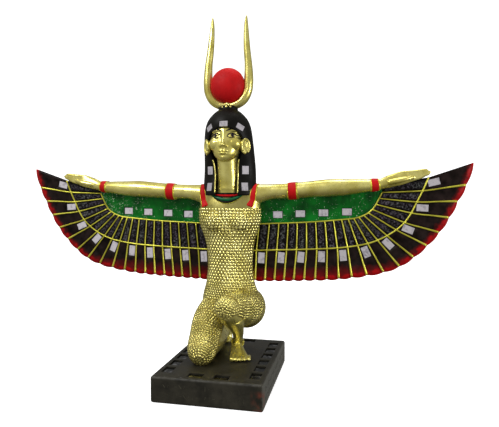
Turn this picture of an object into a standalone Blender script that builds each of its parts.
# Winged kneeling goddess, a painted resin statuette with inlaid mirror tiles.
# Units are metres, +Z is up, and the figure faces -Y. The origin is the middle of the plinth's underside.
# The figure with its wings, horned sun disc and bands is one casting. The plinth and each mirror tile are
# pieces of their own.

import math

import bmesh
import bpy
from mathutils import Matrix, Vector

MM = 0.001

# Plinth
PLINTH_WIDTH = 70 * MM
PLINTH_DEPTH = 92 * MM
PLINTH_HEIGHT = 16.4 * MM
PLINTH_ROUNDING = 1.6 * MM

# Gaps between pieces that touch on the real statue
SEAT_GAP = 0.3 * MM
TILE_GAP = 0.3 * MM

# Figure, as heights above the plinth's underside, each built on the one before
HIP_HEIGHT = PLINTH_HEIGHT + 29.6 * MM
SHOULDER_HEIGHT = HIP_HEIGHT + 83 * MM
CHIN_HEIGHT = SHOULDER_HEIGHT + 19.7 * MM
CROWN_HEIGHT = CHIN_HEIGHT + 37.6 * MM
HORN_TIP_HEIGHT = CROWN_HEIGHT + 65.3 * MM

# Wings
WING_TIP_X = 162.5 * MM
DRAWN_WING_TIP_X = 162.5
WING_FRONT_Y = 19 * MM
WING_SWEEP = 5 * MM
WING_THICKNESS = 4 * MM
WING_TIP_THICKNESS = 2.6 * MM
RIB_WIDTH = 1.1 * MM
RIB_RELIEF = 0.6 * MM
SCALLOP = 1.0 * MM
RIBS = 19

# Sun disc
SUN_RADIUS = 12.1 * MM
SUN_HALF_THICKNESS = 7.5 * MM

# Arms lie on the wings, let in this far
ARM_SINK = 1.6 * MM

# Arm bands
ARMLET_WIDTH = 6.7 * MM
BRACELET_WIDTH = 5.4 * MM
BAND_RELIEF = 0.6 * MM

# Mirror tiles
FEATHER_TILE_LENGTH = 7.6 * MM
COVERT_TILE_LENGTH = 6.4 * MM
TILE_WIDTH = 4.6 * MM
TILE_THICKNESS = 1.2 * MM
FIGURE_TILE_DEPTH = 0.35 * MM
PLINTH_TILE_DEPTH = 0.8 * MM
WIG_TILE_LENGTH = 5.6 * MM
PLINTH_TILE_LENGTH = 9 * MM
PLINTH_TILE_WIDTH = 6 * MM


def vec(x, y, z, base=0.0):
    """A point given in millimetres, as metres, with its height counted from base."""
    return Vector((x * MM, y * MM, base + z * MM))


def span(x):
    """A distance from the middle, drawn in millimetres for the drawn wing, as metres on this one."""
    return x / DRAWN_WING_TIP_X * WING_TIP_X


def clear_scene():
    for obj in list(bpy.data.objects):
        bpy.data.objects.remove(obj)


def paint(name, colour, roughness, metallic=0.0):
    material = bpy.data.materials.new(name)
    material.use_nodes = True
    shader = material.node_tree.nodes["Principled BSDF"]
    shader.inputs["Base Color"].default_value = (*colour, 1.0)
    shader.inputs["Roughness"].default_value = roughness
    shader.inputs["Metallic"].default_value = metallic
    material.diffuse_color = (*colour, 1.0)
    return material


def new_object(name, bm, material):
    bmesh.ops.recalc_face_normals(bm, faces=bm.faces)
    mesh = bpy.data.meshes.new(name)
    bm.to_mesh(mesh)
    bm.free()
    mesh.materials.append(material)
    obj = bpy.data.objects.new(name, mesh)
    bpy.context.scene.collection.objects.link(obj)
    return obj


def cross_section(bm, centre, along, across_axis, across, through, sides):
    """A ring of vertices around centre, square to along: across is its half width along across_axis."""
    along = along.normalized()
    u = (across_axis - along * across_axis.dot(along)).normalized()
    w = along.cross(u)
    frame = Matrix((
        (u.x * across, w.x * through, along.x, centre.x),
        (u.y * across, w.y * through, along.y, centre.y),
        (u.z * across, w.z * through, along.z, centre.z),
        (0, 0, 0, 1),
    ))
    ring = bmesh.ops.create_circle(bm, cap_ends=False, segments=sides, radius=1.0, matrix=frame)
    return ring["verts"]


def loft(name, stations, material, sides=12, across_axis=Vector((1, 0, 0)), along=None):
    """A closed body through stations (centre, half width across, half width through)."""
    bm = bmesh.new()
    rings = []
    for index, (centre, across, through) in enumerate(stations):
        before = stations[max(index - 1, 0)][0]
        after = stations[min(index + 1, len(stations) - 1)][0]
        direction = along if along is not None else after - before
        rings.append(cross_section(bm, centre, direction, across_axis, across, through, sides))
    for lower, upper in zip(rings, rings[1:]):
        for side in range(sides):
            following = (side + 1) % sides
            bm.faces.new((lower[side], lower[following], upper[following], upper[side]))
    bm.faces.new(rings[0])
    bm.faces.new(rings[-1])
    return new_object(name, bm, material)


def ball(name, centre, radii, material, sides=16, rows=10):
    bm = bmesh.new()
    scale = Matrix.Translation(centre) @ Matrix.Diagonal((*radii, 1.0))
    bmesh.ops.create_uvsphere(bm, u_segments=sides, v_segments=rows, radius=1.0, matrix=scale)
    return new_object(name, bm, material)


def slab(name, lengths, matrix, material):
    """A box of the given side lengths, centred on matrix."""
    bm = bmesh.new()
    bmesh.ops.create_cube(bm, size=1.0, matrix=matrix @ Matrix.Diagonal((*lengths, 1.0)))
    return new_object(name, bm, material)


def combine(target, tools, operation):
    """Joins tools to target, or cuts them from it, and removes them.

    Every mesh here is closed. A long chain of free forms leaves the exact solver with loose slivers, and
    the manifold solver carries it through.
    """
    for tool in tools:
        modifier = target.modifiers.new(operation.lower(), "BOOLEAN")
        modifier.operation = operation
        modifier.solver = "MANIFOLD"
        modifier.object = tool
        modifier.material_mode = "TRANSFER"
        graph = bpy.context.evaluated_depsgraph_get()
        result = bpy.data.meshes.new_from_object(target.evaluated_get(graph))
        target.modifiers.clear()
        target.data = result
        bpy.data.objects.remove(tool)
    return target


def spline(knots, position):
    """Catmull-Rom curve through (position, value) knots; value is a tuple of numbers."""
    last = len(knots) - 1
    index = 0
    while index < last - 1 and position > knots[index + 1][0]:
        index += 1
    start, end = knots[index], knots[index + 1]
    before = knots[max(index - 1, 0)]
    after = knots[min(index + 2, last)]
    span = end[0] - start[0]
    t = (position - start[0]) / span
    values = []
    for p0, p1, p2, p3 in zip(before[1], start[1], end[1], after[1]):
        slope_in = (p2 - p0) / (end[0] - before[0]) * span
        slope_out = (p3 - p1) / (after[0] - start[0]) * span
        values.append(
            (2 * t**3 - 3 * t**2 + 1) * p1
            + (t**3 - 2 * t**2 + t) * slope_in
            + (-2 * t**3 + 3 * t**2) * p2
            + (t**3 - t**2) * slope_out
        )
    return values


# Body

def torso(gold):
    # share of the way from hip to shoulder, middle's depth, half width, half depth
    profile = [
        (0.0, 17, 20, 14),
        (0.072, 17, 20.5, 14),
        (0.145, 16, 19.3, 12.5),
        (0.229, 15, 17.2, 11),
        (0.337, 14.5, 15.8, 10),
        (0.458, 14.5, 15.8, 9.8),
        (0.578, 14.5, 17.2, 10.3),
        (0.675, 14, 19.8, 11.2),
        (0.759, 13.5, 21.8, 11.6),
        (0.867, 13.5, 22, 10.6),
        (0.952, 13.5, 21, 9),
        (1.024, 13, 16.5, 7),
        (1.066, 12.5, 10, 5.5),
    ]
    back = SHOULDER_HEIGHT - HIP_HEIGHT
    stations = [(vec(0, y, 0, HIP_HEIGHT + share * back), a * MM, b * MM) for share, y, a, b in profile]
    return loft("torso", stations, gold, sides=18, along=Vector((0, 0, 1)))


def bust(side, gold):
    centre = vec(side * 8.8, 5.4, -20.5, SHOULDER_HEIGHT)
    return ball("bust", centre, vec(7.4, 5.2, 7.4), gold, sides=12, rows=8)


def buttock(side, gold):
    spread, radius = (11.3, 13.2) if side > 0 else (8.6, 12)
    centre = vec(side * spread, 17.5, 1, HIP_HEIGHT)
    return ball("buttock", centre, vec(radius, 15, 14), gold, sides=14, rows=8)


def leg_part(name, path, gold, sides=12):
    """A limb through rows of x, y, height above the plinth and two half widths, in millimetres."""
    stations = [(vec(x, y, z, PLINTH_HEIGHT), a * MM, b * MM) for x, y, z, a, b in path]
    return loft(name, stations, gold, sides=sides)


def kneeling_leg(gold):
    thigh = [
        (-9.6, 17, 30.6, 11.4, 11.5),
        (-12.3, 4, 23.6, 11, 10.8),
        (-12.2, -8, 14.4, 9.8, 9.8),
        (-11.4, -15.5, 8.9, 9.5, 9.5),
        (-10.8, -21, 5.8, 7.4, 7.2),
        (-10.6, -24.8, 4.2, 3.4, 3.2),
    ]
    shin = [
        (-11.2, -15, 8.2, 8, 8),
        (-10.8, 0, 8, 8.2, 8.2),
        (-10, 14, 7.8, 7.4, 7.4),
        (-9.3, 25, 9.2, 5.2, 5.2),
        (-9, 32, 12.1, 4.4, 4.4),
    ]
    foot = [
        (-9, 33.5, 16.1, 2.2, 2.2),
        (-9, 34, 14.6, 4, 3.8),
        (-9, 36, 9.1, 4.6, 3.6),
        (-9.4, 36.4, 4.1, 5.4, 3),
        (-9.6, 34, 1.2, 5.6, 2.4),
        (-9.8, 29.5, 0.9, 5.2, 1.6),
    ]
    return [
        leg_part("kneeling_thigh", thigh, gold),
        leg_part("kneeling_shin", shin, gold),
        leg_part("kneeling_foot", foot, gold, sides=10),
    ]


def raised_leg(gold):
    thigh = [
        (11.5, 16, 31.6, 13, 13),
        (11, 3, 33.1, 11.8, 11.8),
        (8.7, -9, 35.6, 9.8, 9.8),
        (6.4, -17, 37, 8.4, 8.4),
        (5.6, -22, 37, 6.6, 6.6),
        (5.3, -25.2, 36.6, 3, 3),
    ]
    shin = [
        (6.4, -17.5, 35.6, 7.4, 7.4),
        (8.4, -11, 29.1, 7, 7),
        (9.2, -4.5, 22.1, 5, 5),
        (9, 0.5, 16.6, 3.9, 3.9),
        (7.4, 6.5, 10.8, 3.5, 3.5),
        (6.3, 10, 6.6, 3.9, 3.9),
        (6, 11.5, 1.6, 4.4, 4.4),
    ]
    foot = [
        (3.3, 18, 2.6, 2, 2),
        (4.2, 15.8, 3.1, 3.7, 3.4),
        (6.2, 9, 4.1, 4.2, 4.2),
        (8.6, 1.5, 3.2, 5, 3.6),
        (11, -4, 1.8, 6.4, 2.4),
        (11.8, -6.6, 1.2, 6.6, 1.8),
    ]
    toes = []
    for number in range(5):
        x = 6.4 + 2.9 * number
        y = -8.1 + 0.35 * number**1.6
        radius = 1.8 - 0.14 * number
        path = [
            (x - 0.8, y + 4, 1.6, radius, radius),
            (x, y + 0.6, 1.5, radius, radius),
            (x + 0.4, y - 1.1, 1.2, radius * 0.7, radius * 0.7),
        ]
        toes.append(leg_part("toe", path, gold, sides=8))
    return [
        leg_part("raised_thigh", thigh, gold),
        leg_part("raised_shin", shin, gold),
        leg_part("raised_foot", foot, gold),
        *toes,
    ]


# Arm: distance from the middle, height above the shoulder, half height, half depth
ARM_PATH = [
    (10, -3.5, 8.2, 7.5),
    (20, -1.2, 6.7, 6.3),
    (30, 0.2, 5.3, 5.3),
    (43, 0.6, 5.4, 5.4),
    (57, 1.8, 5.6, 5.6),
    (70, 2.7, 5.9, 5.8),
    (80, 3, 5.5, 5.4),
    (90, 3.8, 4.7, 4.7),
    (98, 4.4, 3.9, 4),
    (104, 5.3, 3.6, 3.4),
    (110, 7.2, 4.3, 3.1),
    (117, 9.2, 4.7, 2.9),
    (124, 10.6, 3.7, 2.6),
    (130, 12, 2.5, 2.2),
    (135.5, 13, 1.3, 1.3),
]
ARMLET_X = 44.4
BRACELET_X = 99.2


def wing_y(x):
    """Depth of the wing's front at a distance x from the middle, in metres."""
    return WING_FRONT_Y + WING_SWEEP * (x / WING_TIP_X) ** 2


def arm_station(side, x, forward=0.0, relief=0.0):
    """The arm's middle at a drawn distance x from the body's, and its two half sizes."""
    z, half_height, half_depth = spline([(row[0], row[1:]) for row in ARM_PATH], x)
    reach = span(x)
    y = wing_y(reach) - half_depth * MM + ARM_SINK - forward * MM
    centre = Vector((side * reach, y, SHOULDER_HEIGHT + z * MM))
    return centre, half_height * MM + relief, half_depth * MM + relief


def arm(side, gold):
    stations = [arm_station(side, row[0]) for row in ARM_PATH]
    return loft("arm", stations, gold, sides=10, across_axis=Vector((0, 0, 1)))


def band(side, x, width, red):
    ends = (x - width / MM / 2, x + width / MM / 2)
    stations = [arm_station(side, place, relief=BAND_RELIEF) for place in ends]
    return loft("band", stations, red, sides=14, across_axis=Vector((0, 0, 1)))


def thumb(side, gold):
    # distance from the middle, forward of the hand, above its middle, radius
    path = [(112, 3.3, -1.1, 1.5), (117, 3.6, -2, 1.6), (122, 2.7, -1.8, 1.3), (125, 1.5, -1.4, 0.7)]
    stations = []
    for x, forward, rise, radius in path:
        centre = arm_station(side, x, forward)[0] + vec(0, 0, rise)
        stations.append((centre, radius * MM, radius * MM))
    return loft("thumb", stations, gold, sides=8, across_axis=Vector((0, 0, 1)))


# Head

def neck(gold):
    # height, middle's depth, half width, half depth
    halfway = (SHOULDER_HEIGHT + CHIN_HEIGHT) / 2
    profile = [
        (SHOULDER_HEIGHT - 2 * MM, 12, 8.4, 7.6),
        (SHOULDER_HEIGHT + 4 * MM, 10.5, 7, 6.8),
        (halfway + 2 * MM, 8.6, 6.4, 6.4),
        (CHIN_HEIGHT - 0.7 * MM, 7.5, 6.5, 6.5),
        (CHIN_HEIGHT + 6.3 * MM, 7, 7.5, 7.5),
    ]
    stations = [(vec(0, y, 0, height), a * MM, b * MM) for height, y, a, b in profile]
    return loft("neck", stations, gold, sides=16, along=Vector((0, 0, 1)))


# Heights above the chin, as shares of the head's own height
HEAD_PROFILE = [
    (0.0, 0.6, 2.6, 2.6),
    (0.05, 1.4, 5.2, 4.8),
    (0.14, 3.2, 8.2, 7.6),
    (0.28, 5.0, 10.4, 9.6),
    (0.42, 6.0, 11.6, 10.6),
    (0.57, 6.6, 12.0, 10.9),
    (0.72, 7.4, 11.2, 10.6),
    (0.87, 8.2, 8.6, 8.8),
    (0.96, 9.0, 4.6, 5.0),
]
HEAD_HEIGHT = 34.8 * MM
EYE_LEVEL = 0.49
NOSE_LEVEL = 0.27
MOUTH_LEVEL = 0.165
EYE_SPACING = 5.2 * MM
BROW_RISE = 3.7 * MM
EAR_LEVEL = 0.32
EAR_TURN = math.radians(56)


def head(gold):
    stations = []
    for share, y, a, b in HEAD_PROFILE:
        centre = Vector((0, y * MM, CHIN_HEIGHT + share * HEAD_HEIGHT))
        stations.append((centre, a * MM, b * MM))
    return loft("head", stations, gold, sides=18, along=Vector((0, 0, 1)))


def nose(gold):
    tip_height = CHIN_HEIGHT + NOSE_LEVEL * HEAD_HEIGHT
    eye_height = CHIN_HEIGHT + EYE_LEVEL * HEAD_HEIGHT
    stations = [
        (Vector((0, -3.6 * MM, tip_height - 0.6 * MM)), 1.9 * MM, 1.4 * MM),
        (Vector((0, -4.8 * MM, tip_height + 0.6 * MM)), 2.1 * MM, 2.4 * MM),
        (Vector((0, -4.4 * MM, tip_height + 3.6 * MM)), 1.3 * MM, 1.8 * MM),
        (Vector((0, -3.6 * MM, eye_height + 1.5 * MM)), 1.2 * MM, 1.4 * MM),
    ]
    return loft("nose", stations, gold, sides=8, along=Vector((0, 0, 1)))


def brow_and_eye(side, gold):
    """A shallow lid over the eye and a fine brow ridge above it, both generic."""
    eye_height = CHIN_HEIGHT + EYE_LEVEL * HEAD_HEIGHT
    lid_centre = Vector((side * EYE_SPACING, -2.0 * MM, eye_height))
    lid = ball("eye", lid_centre, vec(2.9, 1.6, 1.5), gold, sides=10, rows=6)
    brow_height = eye_height + BROW_RISE
    path = [
        (side * 1.7 * MM, -3.9 * MM, brow_height - 0.8 * MM, 0.5 * MM),
        (side * 4.6 * MM, -3.7 * MM, brow_height + 0.5 * MM, 0.8 * MM),
        (side * 7.6 * MM, -1.9 * MM, brow_height, 0.7 * MM),
        (side * 9.8 * MM, 0.4 * MM, brow_height - 1.2 * MM, 0.4 * MM),
    ]
    stations = [(Vector((x, y, z)), radius, radius) for x, y, z, radius in path]
    return [lid, loft("brow", stations, gold, sides=6, across_axis=Vector((0, 0, 1)))]


def lips(gold):
    parts = []
    for name, rise, reach in (("upper_lip", 0.65, -4.2), ("lower_lip", -0.65, -4.0)):
        centre = Vector((0, reach * MM, CHIN_HEIGHT + MOUTH_LEVEL * HEAD_HEIGHT + rise * MM))
        parts.append(ball(name, centre, vec(3.1, 1.3, 0.8), gold, sides=10, rows=6))
    return parts


def ear(side, gold):
    centre = Vector((side * 13.4 * MM, 3.2 * MM, CHIN_HEIGHT + EAR_LEVEL * HEAD_HEIGHT))
    flat = ball("ear", Vector(), vec(4.0, 1.7, 5.3), gold, sides=12, rows=8)
    flat.data.transform(Matrix.Translation(centre) @ Matrix.Rotation(side * EAR_TURN, 4, "Z"))
    return flat


def collar(red):
    """The painted collar stands a little proud of the chest, between the wig's lappets."""
    # height above the shoulder, middle's depth, half width, half depth
    profile = [(-0.6, 9.4, 11.6, 7), (-4, 8.4, 9.8, 6), (-6.8, 7.2, 6.9, 4.4), (-8.2, 6.2, 3.8, 2.9)]
    stations = [(vec(0, y, z, SHOULDER_HEIGHT), a * MM, b * MM) for z, y, a, b in profile]
    return loft("collar", stations, red, sides=18, along=Vector((0, 0, 1)))


# Wig: height above the chin, middle's depth, half width, half depth
WIG_PROFILE = [
    (-22.2, 13.2, 19.2, 11.4),
    (-16.7, 13.4, 19.0, 11.4),
    (-8.7, 14.2, 18.8, 9.8),
    (-1.7, 14, 18.5, 9.8),
    (6.3, 12.4, 18, 11),
    (14.3, 10.6, 17.4, 12.6),
    (21.3, 9.6, 16.6, 13.4),
    (26.3, 9.2, 15.5, 13.2),
    (30.3, 9, 13.6, 11.8),
    (33.8, 9, 10.6, 9.6),
    (36.3, 9, 7.4, 7.2),
    (37.6, 9, 4.6, 4.6),
]
# Face opening of the wig: height above the chin, half width
WIG_OPENING = [
    (-28.7, 8.2),
    (-13.7, 8.4),
    (-1.7, 9),
    (3.3, 11.4),
    (11.3, 12.8),
    (16.5, 12.2),
    (19.6, 9.8),
    (21.9, 6.4),
    (23.4, 2.6),
]
WIG_OPENING_BACK_Y = 11 * MM


def wig_front(z, x=0.0):
    """Depth of the wig's front, z above the chin and x from the middle, all in millimetres."""
    y, a, b = spline([(row[0], row[1:]) for row in WIG_PROFILE], z)
    return y - b * math.sqrt(max(0.0, 1 - (x / a) ** 2))


def wig(black):
    stations = [(vec(0, y, z, CHIN_HEIGHT), a * MM, b * MM) for z, y, a, b in WIG_PROFILE]
    hair = loft("wig", stations, black, sides=24, along=Vector((0, 0, 1)))
    bm = bmesh.new()
    outline = [(w, z) for z, w in WIG_OPENING] + [(-w, z) for z, w in reversed(WIG_OPENING)]
    front_y = -30 * MM
    face = bm.faces.new([bm.verts.new((w * MM, front_y, CHIN_HEIGHT + z * MM)) for w, z in outline])
    grown = bmesh.ops.extrude_face_region(bm, geom=[face], use_keep_orig=True)
    moved = [item for item in grown["geom"] if isinstance(item, bmesh.types.BMVert)]
    bmesh.ops.translate(bm, verts=moved, vec=(0, WIG_OPENING_BACK_Y - front_y, 0))
    opening = new_object("opening", bm, black)
    return combine(hair, [opening], "DIFFERENCE")


# Crown: collar on the wig, cow horns and sun disc
# Heights are shares of the horns' rise above the crown.
CROWN_Y = 9.2
SUN_Y = 8
SUN_LEVEL = 0.2466
HORN_PATH = [
    (0, 0.0368, 2.6),
    (6, 0.0475, 2.9),
    (10.8, 0.0965, 3.2),
    (13.7, 0.1792, 3.2),
    (14.4, 0.2711, 3.3),
    (14.5, 0.3706, 3.0),
    (14.1, 0.4855, 2.6),
    (13.2, 0.608, 2.4),
    (12.6, 0.7305, 2.1),
    (12.2, 0.8453, 1.7),
    (12.1, 0.9372, 1.1),
    (12.2, 1.0, 0.35),
]
HORN_LEAN = 4.0


def horn_point(x, share):
    """Horns lean back a little towards their tips."""
    height = CROWN_HEIGHT + share * (HORN_TIP_HEIGHT - CROWN_HEIGHT)
    return vec(x, CROWN_Y + HORN_LEAN * share**2, 0, height)


def crown(black, gold, red):
    collar_profile = [(-4, 6.9, 6.2), (1, 6.7, 5.6), (2, 5.8, 4.8)]
    collar = loft(
        "crown_collar",
        [(vec(0, CROWN_Y, z, CROWN_HEIGHT), a * MM, b * MM) for z, a, b in collar_profile],
        black,
        sides=14,
        along=Vector((0, 0, 1)),
    )
    path = [(-x, share, r) for x, share, r in reversed(HORN_PATH[1:])] + HORN_PATH
    stations = [(horn_point(x, share), r * MM, r * MM) for x, share, r in path]
    horns = loft("horns", stations, gold, sides=8, across_axis=Vector((0, 1, 0)))
    sun_centre = vec(0, SUN_Y, 0, CROWN_HEIGHT + SUN_LEVEL * (HORN_TIP_HEIGHT - CROWN_HEIGHT))
    sun = ball("sun", sun_centre, (SUN_RADIUS, SUN_HALF_THICKNESS, SUN_RADIUS), red, sides=20, rows=10)
    return [collar, horns, sun]


# Wings
# Each guide line gives (distance from the middle, height above the shoulder) at some of the ribs,
# counted from the tip. It is drawn for a wing of DRAWN_WING_TIP_X and stretched to this one's length.
FEATHER_ENDS = [
    (1, (158, 4.4)), (4, (141.2, -27.2)), (7, (116, -50.5)), (10, (84.6, -58.7)),
    (14, (51.9, -61.4)), (RIBS, (17, -62.8)), (RIBS + 1, (8, -63)),
]
MIDDLE_LINE = [
    (1, (130.5, 0.5)), (4, (119, -20.8)), (7, (101.5, -33)), (10, (81.5, -37.9)),
    (14, (53.5, -40)), (RIBS, (18, -41.4)), (RIBS + 1, (8, -41.7)),
]
COVERT_LINE = [
    (1, (104.3, -0.5)), (4, (98, -12)), (7, (89, -17.4)), (10, (77.5, -19.1)),
    (14, (53.4, -21.1)), (RIBS, (20, -22.5)), (RIBS + 1, (8, -22.7)),
]
TOP_EDGE = [(DRAWN_WING_TIP_X, 19), (134.3, 9.5), (104.3, 4.5)]
TOP_SLOPE = 0.06
TOP_INNER_RISE = -0.5


def wing_place(x, z):
    """A drawn place on the wing as (distance from the middle, height) in metres."""
    return span(x), SHOULDER_HEIGHT + z * MM


def wing_lines():
    """For each rib, its places on the feather ends, the middle line, the covert line and the top edge."""
    tip, middle, covert = (wing_place(*place) for place in TOP_EDGE)
    lines = {"end": [tip], "middle": [middle], "covert": [covert], "top": [None, covert]}
    for rib in range(1, RIBS + 2):
        lines["end"].append(wing_place(*spline(FEATHER_ENDS, rib)))
        lines["middle"].append(wing_place(*spline(MIDDLE_LINE, rib)))
        x, z = spline(COVERT_LINE, rib)
        lines["covert"].append(wing_place(x, z))
        if rib > 1:
            lines["top"].append(wing_place(x, TOP_INNER_RISE + TOP_SLOPE * x))
    return lines


def wing(side, lines, black, green):
    bm = bmesh.new()
    made = {}

    def point(place):
        if place not in made:
            made[place] = bm.verts.new((side * place[0], 0, place[1]))
        return made[place]

    cells, panel = [], []
    for rib in range(RIBS + 1):
        end, next_end = lines["end"][rib], lines["end"][rib + 1]
        middle, next_middle = lines["middle"][rib], lines["middle"][rib + 1]
        covert, next_covert = lines["covert"][rib], lines["covert"][rib + 1]
        step = Vector(next_end) - Vector(end)
        bulge = (Vector(end) + Vector(next_end)) / 2 + Vector((step.y, -step.x)).normalized() * SCALLOP
        outer = [point(p) for p in (middle, next_middle, next_end, tuple(bulge), end)]
        inner = [point(p) for p in (covert, next_covert, next_middle, middle)]
        cells.append(bm.faces.new(outer))
        cells.append(bm.faces.new(inner))
        if rib >= 1:
            top, next_top = lines["top"][rib], lines["top"][rib + 1]
            panel.append(bm.faces.new([point(p) for p in (next_covert, covert, top, next_top)]))
    bmesh.ops.recalc_face_normals(bm, faces=bm.faces)
    if bm.faces[0].normal.y > 0:
        bmesh.ops.reverse_faces(bm, faces=bm.faces)
    back = bmesh.ops.extrude_face_region(bm, geom=bm.faces[:], use_keep_orig=True)
    for vert in (item for item in back["geom"] if isinstance(item, bmesh.types.BMVert)):
        share = abs(vert.co.x) / WING_TIP_X
        vert.co.y = WING_THICKNESS + (WING_TIP_THICKNESS - WING_THICKNESS) * share
    bmesh.ops.recalc_face_normals(bm, faces=bm.faces)
    bmesh.ops.inset_individual(bm, faces=cells, thickness=RIB_WIDTH / 2, depth=-RIB_RELIEF)
    bmesh.ops.inset_region(bm, faces=panel, thickness=RIB_WIDTH / 2, depth=-RIB_RELIEF)
    for vert in bm.verts:
        vert.co.y += wing_y(abs(vert.co.x))
    for face in panel:
        face.material_index = 1
    obj = new_object("wing", bm, black)
    obj.data.materials.append(green)
    return obj


# Mirror tiles

def seat_frame(centre, long_side, normal):
    """A frame with its X along the tile's long side and its Z out of the surface."""
    normal = normal.normalized()
    long_side = (long_side - normal * long_side.dot(normal)).normalized()
    cross = normal.cross(long_side)
    frame = Matrix.Identity(4)
    for column, axis in enumerate((long_side, cross, normal)):
        for row in range(3):
            frame[row][column] = axis[row]
    frame.translation = centre
    return frame


def wing_normal(side, x):
    slope = 2 * WING_SWEEP * x / WING_TIP_X**2
    return Vector((side * slope, -1, 0)).normalized()


FEATHER_TILES = 10
FEATHER_TILE_OFFSET = 1.2 * MM
COVERT_TILE_X = (33.2, 49.1, 65.1, 81.1)
COVERT_TILE_RISE = -15.9
COVERT_TILE_SLOPE = 0.044


def wing_tiles(side, lines):
    seats = []
    sunk = RIB_RELIEF
    for number in range(FEATHER_TILES):
        rib = 2 * number
        start = (Vector(lines["middle"][rib]) + Vector(lines["middle"][rib + 1])) / 2
        end = (Vector(lines["end"][rib]) + Vector(lines["end"][rib + 1])) / 2
        direction = (end - start).normalized()
        place = start + direction * (RIB_WIDTH / 2 + FEATHER_TILE_OFFSET + FEATHER_TILE_LENGTH / 2)
        normal = wing_normal(side, place.x)
        centre = Vector((side * place.x, wing_y(place.x) + sunk, place.y))
        long_side = Vector((side * direction.x, 0, direction.y))
        frame = seat_frame(centre, long_side, normal)
        seats.append((f"feather_{number + 1:02d}", frame, FEATHER_TILE_LENGTH, TILE_WIDTH))
    for number, drawn in enumerate(COVERT_TILE_X):
        x, z = wing_place(drawn, COVERT_TILE_RISE + COVERT_TILE_SLOPE * (drawn - COVERT_TILE_X[0]))
        centre = Vector((side * x, wing_y(x) + sunk, z))
        frame = seat_frame(centre, Vector((1, 0, 0)), wing_normal(side, x))
        seats.append((f"covert_{number + 1}", frame, COVERT_TILE_LENGTH, TILE_WIDTH))
    return seats


WIG_SEAT_SINK = 0.2


def wig_seat(x, z, long_side):
    """Seat on the wig's front, found from the wig's own profile."""
    step = 0.5
    y = wig_front(z, x)
    slope_x = (wig_front(z, x + step) - wig_front(z, x - step)) / (2 * step)
    slope_z = (wig_front(z + step, x) - wig_front(z - step, x)) / (2 * step)
    centre = vec(x, y + WIG_SEAT_SINK, z, CHIN_HEIGHT)
    return seat_frame(centre, long_side, Vector((slope_x, -1, slope_z)))


# Distance from the middle and height above the chin
WIG_TILE_SPOTS = {
    "brow_middle": (0, 25.9),
    "brow_left": (11, 23.8),
    "brow_right": (-11, 23.8),
    "lappet_left_upper": (12.8, -4.7),
    "lappet_right_upper": (-12.8, -4.7),
    "lappet_left_lower": (12.8, -16.1),
    "lappet_right_lower": (-12.8, -16.1),
}
BROW_TILE_WIDTH = 3.6 * MM
BROW_TILE_SLOPE = 0.036


def wig_tiles():
    seats = []
    for name, (x, z) in WIG_TILE_SPOTS.items():
        across = name.startswith("brow")
        long_side = Vector((1, 0, -BROW_TILE_SLOPE * x)) if across else Vector((0, 0, 1))
        width = BROW_TILE_WIDTH if across else TILE_WIDTH
        seats.append((name, wig_seat(x, z, long_side), WIG_TILE_LENGTH, width))
    return seats


PLINTH_ROW = 6
PLINTH_ROW_END = 13.5 * MM
PLINTH_ROW_PITCH = (PLINTH_DEPTH - 2 * PLINTH_ROW_END) / (PLINTH_ROW - 1)
PLINTH_END_X = 0.117 * PLINTH_WIDTH
PLINTH_MARGIN = 4 * MM


def plinth_tiles():
    seats = []
    up = Vector((0, 0, 1))
    side_x = PLINTH_WIDTH / 2 - PLINTH_MARGIN - PLINTH_TILE_WIDTH / 2
    end_y = PLINTH_DEPTH / 2 - PLINTH_MARGIN - PLINTH_TILE_WIDTH / 2
    for side, side_name in ((1, "left"), (-1, "right")):
        for number in range(PLINTH_ROW):
            y = (number - (PLINTH_ROW - 1) / 2) * PLINTH_ROW_PITCH
            frame = seat_frame(Vector((side * side_x, y, PLINTH_HEIGHT)), Vector((0, 1, 0)), up)
            seats.append((f"{side_name}_{number + 1}", frame, PLINTH_TILE_LENGTH, PLINTH_TILE_WIDTH))
    for end, end_name in ((-1, "front"), (1, "back")):
        for side, side_name in ((1, "left"), (-1, "right")):
            place = Vector((side * PLINTH_END_X, end * end_y, PLINTH_HEIGHT))
            frame = seat_frame(place, Vector((1, 0, 0)), up)
            seats.append((f"{end_name}_{side_name}", frame, PLINTH_TILE_LENGTH, PLINTH_TILE_WIDTH))
    return seats


def tile(name, frame, length, width, sunk, mirror):
    """A mirror tile, sunk a little below the surface it is let into."""
    middle = frame @ Matrix.Translation((0, 0, -sunk - TILE_THICKNESS / 2))
    return slab(name, (length, width, TILE_THICKNESS), middle, mirror)


def pocket(frame, length, width, sunk, material):
    """The cutter for a tile's recess, with the tile's gap on every side of it."""
    depth = sunk + TILE_THICKNESS + TILE_GAP
    above = 3 * MM
    middle = frame @ Matrix.Translation((0, 0, (above - depth) / 2))
    return slab("pocket", (length + 2 * TILE_GAP, width + 2 * TILE_GAP, depth + above), middle, material)


# Plinth

def plinth(seats, stone):
    middle = Matrix.Translation((0, 0, PLINTH_HEIGHT / 2))
    body = slab("plinth", (PLINTH_WIDTH, PLINTH_DEPTH, PLINTH_HEIGHT), middle, stone)
    bevel = body.modifiers.new("rounding", "BEVEL")
    bevel.width = PLINTH_ROUNDING
    bevel.segments = 2
    cutters = [pocket(frame, length, width, PLINTH_TILE_DEPTH, stone) for _, frame, length, width in seats]
    return combine(body, cutters, "DIFFERENCE")


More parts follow.
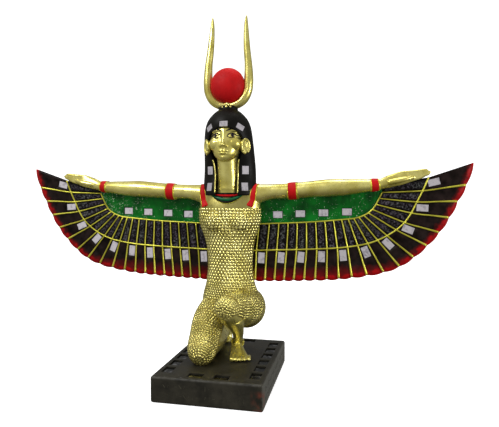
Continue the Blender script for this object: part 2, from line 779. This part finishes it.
def figure(lines, seats, gold, black, red, green):
    parts = [bust(1, gold), bust(-1, gold), buttock(1, gold), buttock(-1, gold)]
    parts += kneeling_leg(gold) + raised_leg(gold)
    parts += [neck(gold), head(gold), nose(gold), collar(red)]
    parts += lips(gold) + brow_and_eye(1, gold) + brow_and_eye(-1, gold)
    parts += [ear(1, gold), ear(-1, gold), wig(black)]
    parts += crown(black, gold, red)
    for side in (1, -1):
        parts.append(arm(side, gold))
        parts.append(thumb(side, gold))
        parts.append(band(side, ARMLET_X, ARMLET_WIDTH, red))
        parts.append(band(side, BRACELET_X, BRACELET_WIDTH, red))
        parts.append(wing(side, lines, black, green))
    body = combine(torso(gold), parts, "UNION")
    body.name = "winged_goddess"
    below = Matrix.Translation((0, 0, (PLINTH_HEIGHT + SEAT_GAP) / 2))
    ground = slab("ground", (2 * PLINTH_WIDTH, 2 * PLINTH_DEPTH, PLINTH_HEIGHT + SEAT_GAP), below, gold)
    cutters = [pocket(frame, length, width, FIGURE_TILE_DEPTH, black) for _, frame, length, width in seats]
    return combine(body, [ground, *cutters], "DIFFERENCE")


def build():
    clear_scene()
    gold = paint("gold_paint", (0.72, 0.58, 0.16), 0.32, 0.9)
    black = paint("black_paint", (0.02, 0.018, 0.02), 0.4)
    red = paint("red_paint", (0.6, 0.02, 0.02), 0.45)
    green = paint("green_paint", (0.01, 0.22, 0.05), 0.35)
    stone = paint("plinth_paint", (0.035, 0.033, 0.028), 0.5)
    mirror = paint("mirror_glass", (0.85, 0.85, 0.85), 0.05, 1.0)
    lines = wing_lines()
    figure_seats = wig_tiles()
    figure_tiles = [(f"wig_tile_{name}", *seat) for name, *seat in figure_seats]
    for side, side_name in ((1, "left"), (-1, "right")):
        seats = wing_tiles(side, lines)
        figure_seats += seats
        figure_tiles += [(f"wing_tile_{side_name}_{name}", *seat) for name, *seat in seats]
    plinth_seats = plinth_tiles()
    figure(lines, figure_seats, gold, black, red, green)
    plinth(plinth_seats, stone)
    for name, frame, length, width in figure_tiles:
        tile(name, frame, length, width, FIGURE_TILE_DEPTH, mirror)
    for name, frame, length, width in plinth_seats:
        tile(f"plinth_tile_{name}", frame, length, width, PLINTH_TILE_DEPTH, mirror)


build()
